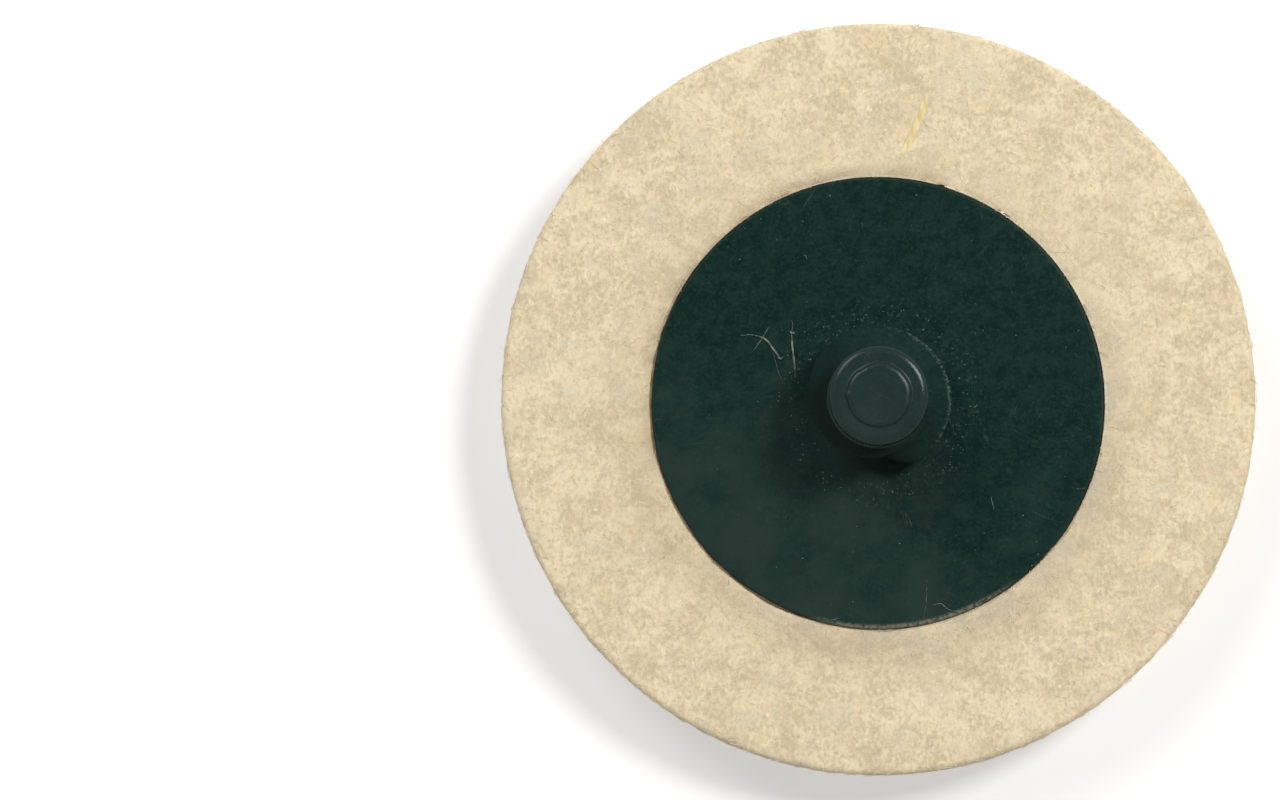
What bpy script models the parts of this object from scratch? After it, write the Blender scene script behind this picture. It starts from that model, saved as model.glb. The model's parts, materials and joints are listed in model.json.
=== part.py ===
"""A 50 mm felt polishing disc with a moulded threaded hub bonded to its back.

Three pieces, stacked along +Z: the pressed wool felt disc, the layer of hot-melt
adhesive and the hub, whose flange carries a stud with a coarse rounded thread. The
flange is bonded under pressure, so it and the adhesive sit in a shallow round seat
that they have pressed into the felt's back.
The origin is the centre of the felt's working face, so the disc lies on z = 0.
"""

from math import cos, pi, sin

import bmesh
import bpy
from mathutils import Vector

# Driving dimensions, in metres.
FELT_DIAMETER = 0.050
FELT_THICKNESS = 0.006
FELT_EDGE_RADIUS = 0.0004
SEAT_DEPTH = 0.0013
SEAT_EDGE_RADIUS = 0.0002

JOINT_GAP = 0.0003  # left between bonded faces, so that each piece stays its own solid

ADHESIVE_DIAMETER = 0.0292
ADHESIVE_THICKNESS = 0.0003
ADHESIVE_EDGE_RADIUS = 0.0001

FLANGE_DIAMETER = 0.030
FLANGE_THICKNESS = 0.0010
FLANGE_TOP_RADIUS = 0.0003
FLANGE_BOTTOM_RADIUS = 0.0001

STUD_LENGTH = 0.008  # from the flange's back to the stud's flat end
STUD_CORE_RADIUS = 0.0032
STUD_FOOT_RADIUS = 0.0005
NOSE_CHAMFER = 0.00035

THREAD_CREST_RADIUS = 0.0048
THREAD_PITCH = 0.0032
THREAD_FIRST_ROOT = 0.0002  # height above the flange where the lowest pitch begins
THREAD_TURNS = 1.30
THREAD_LEAD_IN = 0.65  # turns over which the ridge dies away at its upper end
THREAD_RUN_OUT = 0.12  # the same, at its lower end
THREAD_START_ANGLE = 1.456 * pi  # where the lower end starts, seen from the stud's end

PIP_RADIUS = 0.00205
PIP_HEIGHT = 0.00025
PIP_EDGE_RADIUS = 0.0001

# The ridge's section over one pitch: (share of the pitch, share of the depth).
RIDGE_SECTION = (
    (0.00, 0.0),
    (0.13, 0.0),
    (0.21, 0.30),
    (0.29, 0.78),
    (0.38, 1.0),
    (0.62, 1.0),
    (0.71, 0.78),
    (0.79, 0.30),
    (0.87, 0.0),
)

# Facets round each piece and along each small rounding.
FELT_FACETS = 96
ADHESIVE_FACETS = 72
HUB_FACETS = 72
ARC_STEPS = 3

SMOOTH_ANGLE = 0.6  # radians; sharper edges than this stay sharp
MERGE_DISTANCE = 1e-6

FELT_BOTTOM = 0.0
FELT_TOP = FELT_BOTTOM + FELT_THICKNESS
SEAT_FLOOR = FELT_TOP - SEAT_DEPTH
SEAT_RADIUS = FLANGE_DIAMETER / 2 + JOINT_GAP
ADHESIVE_BOTTOM = SEAT_FLOOR + JOINT_GAP
HUB_BOTTOM = ADHESIVE_BOTTOM + ADHESIVE_THICKNESS + JOINT_GAP
FLANGE_TOP = HUB_BOTTOM + FLANGE_THICKNESS
STUD_END = FLANGE_TOP + STUD_LENGTH


def clear_scene():
    """Remove whatever the file holds already."""
    for item in list(bpy.data.objects):
        bpy.data.objects.remove(item, do_unlink=True)


def make_material(name, colour, roughness, metallic=0.0):
    """A plain Principled material with a linear RGB colour."""
    material = bpy.data.materials.new(name)
    material.use_nodes = True
    shader = material.node_tree.nodes["Principled BSDF"]
    shader.inputs["Base Color"].default_value = (*colour, 1.0)
    shader.inputs["Roughness"].default_value = roughness
    shader.inputs["Metallic"].default_value = metallic
    return material


def arc(centre_radius, centre_height, radius, start, end, steps=ARC_STEPS):
    """Points (r, z) of a rounding in a turned outline, both ends included."""
    points = []
    for step in range(steps + 1):
        angle = start + (end - start) * step / steps
        points.append(
            (
                centre_radius + radius * cos(angle),
                centre_height + radius * sin(angle),
            )
        )
    return points


def disc_outline(radius, bottom, top, bottom_rounding, top_rounding):
    """The outline of a round plate, from its lower face round its rim to its upper face."""
    lower = arc(
        radius - bottom_rounding, bottom + bottom_rounding, bottom_rounding, -pi / 2, 0
    )
    upper = arc(radius - top_rounding, top - top_rounding, top_rounding, 0, pi / 2)
    return lower + upper


def ring(radius, height, facets, first_angle=0.0):
    """One level ring of points, whose last point repeats the first."""
    points = []
    for column in range(facets + 1):
        angle = first_angle + 2 * pi * column / facets
        points.append(Vector((radius * cos(angle), radius * sin(angle), height)))
    return points


def solid_from_rows(name, rows, material):
    """Join rows of points into one closed solid, with a fan at the first and the last row."""
    mesh = bmesh.new()
    grid = [[mesh.verts.new(point) for point in row] for row in rows]
    for lower, upper in zip(grid, grid[1:]):
        for column in range(len(lower) - 1):
            corners = (
                lower[column],
                lower[column + 1],
                upper[column + 1],
                upper[column],
            )
            mesh.faces.new(corners)
    for row in (grid[0], grid[-1]):
        centre = mesh.verts.new((0.0, 0.0, row[0].co.z))
        for column in range(len(row) - 1):
            mesh.faces.new((centre, row[column], row[column + 1]))
    bmesh.ops.remove_doubles(mesh, verts=mesh.verts, dist=MERGE_DISTANCE)
    bmesh.ops.dissolve_degenerate(mesh, edges=mesh.edges, dist=MERGE_DISTANCE)
    bmesh.ops.recalc_face_normals(mesh, faces=mesh.faces)
    data = bpy.data.meshes.new(name)
    mesh.to_mesh(data)
    mesh.free()
    data.shade_smooth()
    data.set_sharp_from_angle(angle=SMOOTH_ANGLE)
    data.materials.append(material)
    piece = bpy.data.objects.new(name, data)
    bpy.context.scene.collection.objects.link(piece)
    return piece


def ridge_strength(turn):
    """How much of the thread's full depth stands at this many turns from its lower end."""
    rise = min(1.0, max(0.0, turn / THREAD_RUN_OUT))
    fall = min(1.0, max(0.0, (THREAD_TURNS - turn) / THREAD_LEAD_IN))
    least = min(rise, fall)
    eased = least * least * (3 - 2 * least)
    return (least + eased) / 2


def thread_rows(bottom, top):
    """Rows of points that follow the right-hand helix from one level of the core to another.

    Each row climbs one pitch in a turn, so a row's end meets the start of the row one
    section higher. Points past either level are held at it, where the core is plain.
    """
    depth = THREAD_CREST_RADIUS - STUD_CORE_RADIUS
    first_root = FLANGE_TOP + THREAD_FIRST_ROOT
    lowest_turn = int((bottom - first_root) / THREAD_PITCH) - 2
    highest_turn = int((top - first_root) / THREAD_PITCH) + 1
    rows = []
    for turn in range(lowest_turn, highest_turn + 1):
        for share, height in RIDGE_SECTION:
            row = []
            for column in range(HUB_FACETS + 1):
                along = turn + column / HUB_FACETS
                level = first_root + THREAD_PITCH * (along + share)
                radius = STUD_CORE_RADIUS + depth * height * ridge_strength(along)
                angle = THREAD_START_ANGLE + 2 * pi * column / HUB_FACETS
                row.append(
                    Vector(
                        (
                            radius * cos(angle),
                            radius * sin(angle),
                            min(top, max(bottom, level)),
                        )
                    )
                )
            rows.append(row)
    return rows


def hub_ring(radius, height):
    """A level ring whose columns stand at the thread's own angles."""
    return ring(radius, height, HUB_FACETS, THREAD_START_ANGLE)


def make_felt_disc():
    """The working part: a disc of pressed wool felt, with the flange's seat in its back."""
    outline = disc_outline(
        FELT_DIAMETER / 2, FELT_BOTTOM, FELT_TOP, FELT_EDGE_RADIUS, FELT_EDGE_RADIUS
    )
    lip = arc(
        SEAT_RADIUS + SEAT_EDGE_RADIUS, FELT_TOP - SEAT_EDGE_RADIUS, SEAT_EDGE_RADIUS, pi / 2, pi
    )
    outline += lip + [(SEAT_RADIUS, SEAT_FLOOR)]
    rows = [ring(radius, height, FELT_FACETS) for radius, height in outline]
    material = make_material("pressed_wool_felt", (0.73, 0.60, 0.40), 0.95)
    return solid_from_rows("felt_disc", rows, material)


def make_adhesive_layer():
    """The layer of hot-melt adhesive between the felt and the hub's flange."""
    outline = disc_outline(
        ADHESIVE_DIAMETER / 2,
        ADHESIVE_BOTTOM,
        ADHESIVE_BOTTOM + ADHESIVE_THICKNESS,
        ADHESIVE_EDGE_RADIUS,
        ADHESIVE_EDGE_RADIUS,
    )
    rows = [ring(radius, height, ADHESIVE_FACETS) for radius, height in outline]
    material = make_material("hot_melt_adhesive", (0.31, 0.14, 0.045), 0.35)
    return solid_from_rows("adhesive_layer", rows, material)


def make_threaded_hub():
    """The moulded hub: flange, threaded stud, plain nose and gate pip in one piece."""
    flange = disc_outline(
        FLANGE_DIAMETER / 2,
        HUB_BOTTOM,
        FLANGE_TOP,
        FLANGE_BOTTOM_RADIUS,
        FLANGE_TOP_RADIUS,
    )
    foot = arc(
        STUD_CORE_RADIUS + STUD_FOOT_RADIUS,
        FLANGE_TOP + STUD_FOOT_RADIUS,
        STUD_FOOT_RADIUS,
        -pi / 2,
        -pi,
    )
    nose = [
        (STUD_CORE_RADIUS, STUD_END - NOSE_CHAMFER),
        (STUD_CORE_RADIUS - NOSE_CHAMFER, STUD_END),
    ]
    pip_top = STUD_END + PIP_HEIGHT
    pip = [(PIP_RADIUS, STUD_END)] + arc(
        PIP_RADIUS - PIP_EDGE_RADIUS, pip_top - PIP_EDGE_RADIUS, PIP_EDGE_RADIUS, 0, pi / 2
    )
    rows = [hub_ring(radius, height) for radius, height in flange + foot]
    rows += thread_rows(FLANGE_TOP + STUD_FOOT_RADIUS, STUD_END - NOSE_CHAMFER)
    rows += [hub_ring(radius, height) for radius, height in nose + pip]
    material = make_material("moulded_nylon", (0.009, 0.030, 0.023), 0.55)
    return solid_from_rows("threaded_hub", rows, material)


def main():
    """Build the disc, with its three pieces under one empty at the origin."""
    clear_scene()
    disc = bpy.data.objects.new("polishing_disc", None)
    bpy.context.scene.collection.objects.link(disc)
    for piece in (make_felt_disc(), make_adhesive_layer(), make_threaded_hub()):
        piece.parent = disc


main()
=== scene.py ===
"""The looks of a felt polishing disc with a threaded hub, laid out as a Blender add-on.

Each operator makes one piece, or one group of like pieces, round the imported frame:
the pressed felt and its loose fibres, the hot-melt bond, the moulded hub, the lint
and dust on it, and the stage. All lengths are in metres.
"""

import json
from math import atan, cos, hypot, pi, radians, sin, tan

import bmesh
import bpy
from bpy.props import FloatProperty, FloatVectorProperty, IntProperty, PointerProperty
from mathutils import Matrix, Vector, noise


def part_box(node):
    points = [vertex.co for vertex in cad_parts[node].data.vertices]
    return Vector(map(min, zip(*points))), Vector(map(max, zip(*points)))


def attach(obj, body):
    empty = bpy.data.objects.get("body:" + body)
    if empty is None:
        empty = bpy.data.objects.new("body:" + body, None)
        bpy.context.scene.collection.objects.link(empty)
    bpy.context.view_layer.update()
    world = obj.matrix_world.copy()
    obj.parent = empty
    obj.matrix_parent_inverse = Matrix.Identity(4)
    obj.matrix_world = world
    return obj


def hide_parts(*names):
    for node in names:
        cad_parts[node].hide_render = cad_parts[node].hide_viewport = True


bl_info = {
    "name": "Felt Polishing Disc",
    "version": (1, 0, 0),
    "blender": (4, 5, 0),
    "location": "3D View > Sidebar > Polishing Disc",
    "description": "Makes a felt polishing disc with its threaded hub, and a studio round it",
    "category": "Add Mesh",
}

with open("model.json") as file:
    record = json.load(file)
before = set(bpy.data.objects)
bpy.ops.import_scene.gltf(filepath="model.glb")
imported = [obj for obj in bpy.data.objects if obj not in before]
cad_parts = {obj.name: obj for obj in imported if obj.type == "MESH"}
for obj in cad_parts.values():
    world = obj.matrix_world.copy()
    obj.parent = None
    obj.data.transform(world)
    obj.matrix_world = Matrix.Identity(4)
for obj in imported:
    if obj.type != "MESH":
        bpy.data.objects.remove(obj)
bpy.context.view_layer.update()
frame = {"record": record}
FELT_LOW, FELT_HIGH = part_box("felt_disc")
HUB_LOW, HUB_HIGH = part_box("threaded_hub")
MOUNTS = {mount["name"]: mount for mount in frame["record"]["mounts"]}

MM = 0.001
BODY = "root"

# The frame's own sizes.
FELT_RADIUS = (FELT_HIGH.x - FELT_LOW.x) / 2
FELT_FACE = FELT_LOW.z
FELT_BACK = FELT_HIGH.z
FLANGE_RADIUS = (HUB_HIGH.x - HUB_LOW.x) / 2
FLANGE_BOTTOM = HUB_LOW.z
FLANGE_TOP = MOUNTS["threaded_stud"]["pos_m"][2]
CREST_RADIUS = MOUNTS["threaded_stud"]["dims"]["r_mm"] * MM
STUD_END = FLANGE_TOP + MOUNTS["threaded_stud"]["dims"]["length_mm"] * MM
PIP_TOP = HUB_HIGH.z

# The stud's other sizes, as the frame has them.
CORE_RADIUS = 3.2 * MM
FOOT_RADIUS = 0.5 * MM
NOSE_ROUNDING = 0.35 * MM
PIP_RADIUS = 2.05 * MM
THREAD_PITCH = 3.2 * MM
THREAD_FIRST_ROOT = 0.2 * MM
THREAD_TURNS = 1.30
THREAD_LEAD_IN = 0.65
THREAD_RUN_OUT = 0.12
THREAD_START_ANGLE = 1.456 * pi

SMOOTH_ANGLE = radians(40)
MERGE_DISTANCE = 1e-7


# ---- node graphs


class Value:
    """A node's output, which Python's operators can work on."""

    def __init__(self, graph, socket):
        self.graph = graph
        self.socket = socket

    def __add__(self, other):
        return self.graph.maths("ADD", self, other)

    __radd__ = __add__

    def __sub__(self, other):
        return self.graph.maths("SUBTRACT", self, other)

    def __rsub__(self, other):
        return self.graph.maths("SUBTRACT", other, self)

    def __mul__(self, other):
        return self.graph.maths("MULTIPLY", self, other)

    __rmul__ = __mul__

    def __truediv__(self, other):
        return self.graph.maths("DIVIDE", self, other)

    def __pow__(self, other):
        return self.graph.maths("POWER", self, other)

    def __abs__(self):
        return self.graph.maths("ABSOLUTE", self)


class Graph:
    """Adds nodes to a shader or geometry tree."""

    def __init__(self, tree):
        self.tree = tree

    def add(self, kind, inputs=None, output=0, **settings):
        """One node, with its settings, and the values or links of its sockets."""
        node = self.tree.nodes.new(kind)
        for name, value in settings.items():
            setattr(node, name, value)
        for key, value in (inputs or {}).items():
            socket = node.inputs[key]
            if isinstance(value, Value):
                self.tree.links.new(value.socket, socket)
            else:
                socket.default_value = value
        return Value(self, node.outputs[output])

    def maths(self, operation, *terms):
        """A Math node on numbers or sockets."""
        return self.add("ShaderNodeMath", dict(enumerate(terms)), operation=operation)

    def ramp(self, value, low, high, smooth=True):
        """0 below low, 1 above high."""
        kind = "SMOOTHSTEP" if smooth else "LINEAR"
        inputs = {"Value": value, "From Min": low, "From Max": high}
        return self.add("ShaderNodeMapRange", inputs, interpolation_type=kind, clamp=True)

    def mix(self, factor, first, second):
        """One colour mixed with another."""
        inputs = {0: factor, 6: first, 7: second}
        return self.add("ShaderNodeMix", inputs, output=2, data_type="RGBA", clamp_factor=True)

    def layered(self, colour, *layers):
        """A colour with others laid over it, each given as its share, its mask and its tone."""
        for share, mask, tone in layers:
            colour = self.mix(share * mask, colour, (*tone, 1))
        return colour

    def most(self, values):
        """The largest of several values."""
        result = values[0]
        for value in values[1:]:
            result = self.maths("MAXIMUM", result, value)
        return result

    def placed(self, vector, scale=(1, 1, 1), turn=(0, 0, 0), shift=(0, 0, 0)):
        """Coordinates stretched, turned and shifted."""
        inputs = {"Vector": vector, "Location": shift, "Rotation": turn, "Scale": scale}
        return self.add("ShaderNodeMapping", inputs, vector_type="POINT")

    def noise(self, vector, scale=1.0, detail=2.0, roughness=0.5, distortion=0.0):
        """Noise from 0 to 1."""
        inputs = {"Vector": vector, "Scale": scale, "Detail": detail, "Roughness": roughness}
        inputs["Distortion"] = distortion
        return self.add("ShaderNodeTexNoise", inputs, noise_dimensions="3D")

    def patches(self, vector, shift, scale, low, high, detail=3.0):
        """Soft-edged patches: 0 outside them, 1 inside."""
        cloud = self.noise(self.placed(vector, shift=shift), scale, detail, 0.6)
        return self.ramp(cloud, low, high)

    def split(self, vector):
        """The three numbers of a vector."""
        outputs = self.add("ShaderNodeSeparateXYZ", {"Vector": vector}).socket.node.outputs
        return [Value(self, outputs[axis]) for axis in range(3)]

    def cylindrical(self, vector):
        """The three numbers of a position, and its distance from the axis."""
        x, y, z = self.split(vector)
        return x, y, z, (x**2 + y**2) ** 0.5

    def bump(self, height, distance, strength):
        """A Bump node's normal."""
        inputs = {"Height": height, "Distance": distance, "Strength": strength}
        return self.add("ShaderNodeBump", inputs)


def new_material(name):
    """A material with a Principled shader. Gives it, its graph and its coordinates in mm."""
    material = bpy.data.materials.new(name)
    material.use_nodes = True
    graph = Graph(material.node_tree)
    place = graph.add("ShaderNodeTexCoord", output="Object")
    thousand = (1 / MM, 1 / MM, 1 / MM)
    return material, graph, graph.placed(place, thousand)


def finish_material(material, links, constants=None):
    """Feed the Principled shader: sockets that vary, then sockets that are the same all over."""
    shader = material.node_tree.nodes["Principled BSDF"]
    for name, value in links.items():
        material.node_tree.links.new(value.socket, shader.inputs[name])
    for name, value in (constants or {}).items():
        shader.inputs[name].default_value = value
    return material


# ---- settings

LENGTH = {"unit": "LENGTH", "precision": 6}
COLOUR = {"subtype": "COLOR", "size": 4, "min": 0.0, "max": 1.0}


class FeltSettings(bpy.types.PropertyGroup):
    """Sizes and colours of the felt, its fibres and the bond."""

    relief: FloatProperty(
        name="Relief",
        description="How far the pressed surface rises and falls",
        default=0.05 * MM, min=0.0, **LENGTH,
    )
    fibre_length: FloatProperty(
        name="Fibre Length",
        description="The usual length of a loose fibre",
        default=0.85 * MM, min=0.1 * MM, **LENGTH,
    )
    fibre_thickness: FloatProperty(
        name="Fibre Thickness",
        description="The usual thickness of a loose fibre",
        default=0.03 * MM, min=0.005 * MM, **LENGTH,
    )
    fibre_seed: IntProperty(
        name="Fibre Seed", description="Sets where the loose fibres lie", default=11, min=0
    )
    cream: FloatVectorProperty(
        name="Cream Wool",
        description="The felt's light tone",
        default=(0.760, 0.640, 0.425, 1.0), **COLOUR,
    )
    tan_tone: FloatVectorProperty(
        name="Tan Wool",
        description="The felt's clouded tone",
        default=(0.540, 0.430, 0.265, 1.0), **COLOUR,
    )
    bond: FloatVectorProperty(
        name="Bond",
        description="The hot-melt adhesive's colour",
        default=(0.13, 0.080, 0.030, 1.0), **COLOUR,
    )


class HubSettings(bpy.types.PropertyGroup):
    """Sizes and colours of the hub and of what lies on it."""

    green: FloatVectorProperty(
        name="Nylon",
        description="The moulded hub's colour",
        default=(0.0014, 0.0150, 0.0118, 1.0), **COLOUR,
    )
    rim_roughness: FloatProperty(
        name="Rim Unevenness",
        description="How far the flange's trimmed rim wanders",
        default=0.035 * MM, min=0.0, **LENGTH,
    )
    dust_density: FloatProperty(
        name="Dust Density",
        description="Dust flakes for each square metre of the flange",
        default=4.0e5, min=0.0,
    )
    dust_seed: IntProperty(name="Dust Seed", description="Sets where the dust lies", default=5, min=0)


class StageSettings(bpy.types.PropertyGroup):
    """The studio."""

    lens: FloatProperty(
        name="Lens", description="The camera's focal length in millimetres", default=135.0, min=20.0
    )
    key_power: FloatProperty(
        name="Key Light", description="Power of the main light", default=2.45, min=0.0, unit="POWER"
    )
    fill_power: FloatProperty(
        name="Fill Light", description="Power of the second light", default=1.3, min=0.0, unit="POWER"
    )
    surround: FloatProperty(
        name="Surround", description="Brightness of the light from all round", default=0.42, min=0.0
    )


# ---- mesh helpers

STRAND_SIDES = 6
STRAND_STEPS = 6


def arc(centre_radius, centre_height, radius, start, end, steps):
    """Points (r, z) of a rounding in a turned outline, both ends included."""
    points = []
    for step in range(steps + 1):
        angle = start + (end - start) * step / steps
        points.append((centre_radius + radius * cos(angle), centre_height + radius * sin(angle)))
    return points


def spaced(start, end, count):
    """count numbers that lead from start to just short of end."""
    return [start + (end - start) * index / count for index in range(count)]


def shaped_ring(columns, first_angle, shape):
    """A ring of points, the last as the first. shape(angle, share of the round) gives (r, z)."""
    points = []
    for column in range(columns + 1):
        angle = first_angle + 2 * pi * column / columns
        radius, height = shape(angle, column / columns)
        points.append(Vector((radius * cos(angle), radius * sin(angle), height)))
    return points


def ring(radius, height, columns, first_angle=0.0):
    """One level round ring of points."""
    return shaped_ring(columns, first_angle, lambda angle, round_share: (radius, height))


def mesh_of(shape, name):
    """The mesh that a bmesh holds, which is freed."""
    data = bpy.data.meshes.new(name)
    shape.to_mesh(data)
    shape.free()
    return data


def new_object(name, data):
    """An object in the scene."""
    thing = bpy.data.objects.new(name, data)
    bpy.context.scene.collection.objects.link(thing)
    return thing


def closed_mesh(name, rows):
    """One closed mesh from rows of points, with a fan at the first and the last row."""
    shape = bmesh.new()
    grid = [[shape.verts.new(point) for point in row] for row in rows]
    for lower, upper in zip(grid, grid[1:]):
        for column in range(len(lower) - 1):
            corners = (lower[column], lower[column + 1], upper[column + 1], upper[column])
            shape.faces.new(corners)
    for row in (grid[0], grid[-1]):
        middle = sum((vertex.co for vertex in row[:-1]), Vector()) / (len(row) - 1)
        centre = shape.verts.new(middle)
        for column in range(len(row) - 1):
            shape.faces.new((centre, row[column], row[column + 1]))
    bmesh.ops.remove_doubles(shape, verts=shape.verts, dist=MERGE_DISTANCE)
    bmesh.ops.dissolve_degenerate(shape, edges=shape.edges, dist=MERGE_DISTANCE)
    bmesh.ops.recalc_face_normals(shape, faces=shape.faces)
    return mesh_of(shape, name)


def new_piece(name, data, material, replaces=(), sharp=True):
    """Show a finished mesh as a piece that rides on the disc's one body."""
    data.shade_smooth()
    if sharp:
        data.set_sharp_from_angle(angle=SMOOTH_ANGLE)
    data.materials.clear()
    data.materials.append(material)
    piece = new_object(name, data)
    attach(piece, BODY)
    if replaces:
        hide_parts(*replaces)
    return piece


def smooth_route(points):
    """A Catmull-Rom curve through the points."""
    ends = [2 * points[0] - points[1]] + points + [2 * points[-1] - points[-2]]
    route = []
    for index in range(1, len(ends) - 2):
        before, start, end, after = ends[index - 1 : index + 3]
        for step in range(STRAND_STEPS):
            t = step / STRAND_STEPS
            square = (2 * before - 5 * start + 4 * end - after) * t**2
            cube = (3 * start - before - 3 * end + after) * t**3
            route.append(0.5 * (2 * start + (end - before) * t + square + cube))
    route.append(points[-1])
    return route


def add_strand(shape, points, width, thickness):
    """Add a tapered strand of oval section that follows the points."""
    route = smooth_route(points)
    rings = []
    for index, point in enumerate(route):
        ahead = route[min(index + 1, len(route) - 1)] - route[max(index - 1, 0)]
        along = ahead.normalized()
        side = along.cross(Vector((0, 0, 1))).normalized()
        up = side.cross(along)
        share = index / (len(route) - 1)
        taper = 0.25 + 0.75 * min(1.0, 5 * share, 5 * (1 - share))
        section = []
        for corner in range(STRAND_SIDES):
            angle = 2 * pi * corner / STRAND_SIDES
            offset = side * (cos(angle) * width / 2) + up * (sin(angle) * thickness / 2)
            section.append(shape.verts.new(point + offset * taper))
        rings.append(section)
    for lower, upper in zip(rings, rings[1:]):
        for corner in range(STRAND_SIDES):
            after = (corner + 1) % STRAND_SIDES
            shape.faces.new((lower[corner], lower[after], upper[after], upper[corner]))
    shape.faces.new(rings[0])
    shape.faces.new(rings[-1])


def strands_mesh(name, strands):
    """One mesh of several strands, each given as (points, width, thickness)."""
    shape = bmesh.new()
    for points, width, thickness in strands:
        add_strand(shape, [Vector(point) for point in points], width, thickness)
    bmesh.ops.recalc_face_normals(shape, faces=shape.faces)
    return mesh_of(shape, name)


# ---- the felt disc

FELT_COLUMNS = 480
FELT_EDGE = 0.4 * MM
FELT_EDGE_STEPS = 5
FELT_SIDE_ROWS = 30
FELT_FACE_RINGS = 58
FELT_BACK_RINGS = 46
SEAT_LIP = 0.09 * MM
SWELL = 0.42 * MM
SWELL_REACH = 3.2 * MM
FELT_MIDDLE = Vector((0.02 * MM, 0.40 * MM, 0))
SEAT_RADIUS = FLANGE_RADIUS + 0.02 * MM
SEAT_FLOOR = FELT_BACK - 1.2 * MM
# The length and width of the lines drawn in the felt's shader, in mm.
LINE_LENGTH = 1.3
LINE_WIDTH = 0.13


def held(number):
    """The number, held between 0 and 1."""
    return min(1.0, max(0.0, number))


def swell(radius):
    """How far the felt is squeezed up round the flange at a radius."""
    beyond = held((radius - SEAT_RADIUS) / SWELL_REACH)
    return SWELL * (1 - beyond) ** 2 * (1 + 2 * beyond)


def felt_ring(radius, height):
    """One ring of the felt, round its own middle but for the seat, which is the flange's."""
    beyond = (radius - SEAT_RADIUS - MM) / (4 * MM)
    share = held(beyond) if height > SEAT_FLOOR - MM / 2 else 1.0
    return [point + FELT_MIDDLE * share for point in ring(radius, height, FELT_COLUMNS)]


def felt_rows():
    """Rows of the felt's plain shape: face, edge, back, and the flange's seat in the back."""
    flat = FELT_RADIUS - FELT_EDGE
    outline = [(r, FELT_FACE) for r in spaced(0.3 * MM, flat, FELT_FACE_RINGS)]
    outline += arc(flat, FELT_FACE + FELT_EDGE, FELT_EDGE, -pi / 2, 0, FELT_EDGE_STEPS)
    side = spaced(FELT_FACE + FELT_EDGE, FELT_BACK - FELT_EDGE, FELT_SIDE_ROWS)
    outline += [(FELT_RADIUS, height) for height in side[1:]]
    outline += arc(flat, FELT_BACK - FELT_EDGE, FELT_EDGE, 0, pi / 2, FELT_EDGE_STEPS)
    brim = SEAT_RADIUS + SEAT_LIP
    outline += [(r, FELT_BACK + swell(r)) for r in spaced(flat, brim, FELT_BACK_RINGS)[1:]]
    outline += arc(brim, FELT_BACK + swell(brim) - SEAT_LIP, SEAT_LIP, pi / 2, pi, 4)
    outline += [(SEAT_RADIUS, SEAT_FLOOR), (9 * MM, SEAT_FLOOR), (3 * MM, SEAT_FLOOR)]
    return [felt_ring(radius, height) for radius, height in outline]


def felt_relief(point):
    """How far the pressed surface stands proud at a point, from about -1 to 1."""
    place = point / MM
    layered = Vector((place.x, place.y, place.z * 2.2))
    broad = noise.fractal(place * 0.24, 1.0, 2.0, 2)
    lumpy = noise.fractal(layered * 0.9 + Vector((7, 3, 5)), 0.8, 2.0, 3)
    beyond = (hypot(point.x, point.y) - SEAT_RADIUS) / (1.8 * MM)
    pressed = max(0.0, 1.0 - max(0.0, beyond)) ** 2 if point.z > SEAT_FLOOR + MM / 2 else 0.0
    return 0.8 * broad + 0.75 * lumpy - 2.0 * pressed


def relieved(data, amount):
    """Move each point of the felt along its normal by the relief."""
    normals = [vertex.normal.copy() for vertex in data.vertices]
    for vertex, normal in zip(data.vertices, normals):
        upright = 0.3 + 0.7 * min(1.0, abs(normal.z) / 0.8)
        height = amount * upright * felt_relief(vertex.co)
        if normal.z < -0.5:
            height = min(0.0, height - amount * 0.6)
        vertex.co += normal * height


def fibre_field(graph, place, layers, turns):
    """Fine tangled lines: ridges of stretched noise in several directions, from 0 to 1."""
    lines = []
    for index in range(layers):
        seed = (17.0 * index, -9.0 * index, 5.0 * index)
        turned = graph.placed(place, turn=turns(index), shift=seed)
        drawn = graph.placed(turned, (1 / LINE_LENGTH, 1 / LINE_WIDTH, 1 / LINE_WIDTH))
        value = graph.noise(drawn, 1.0, 1.0, 0.5, 0.6)
        lines.append(1 - graph.ramp(abs(value - 0.5), 0.0, 0.06))
    return graph.most(lines)


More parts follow.
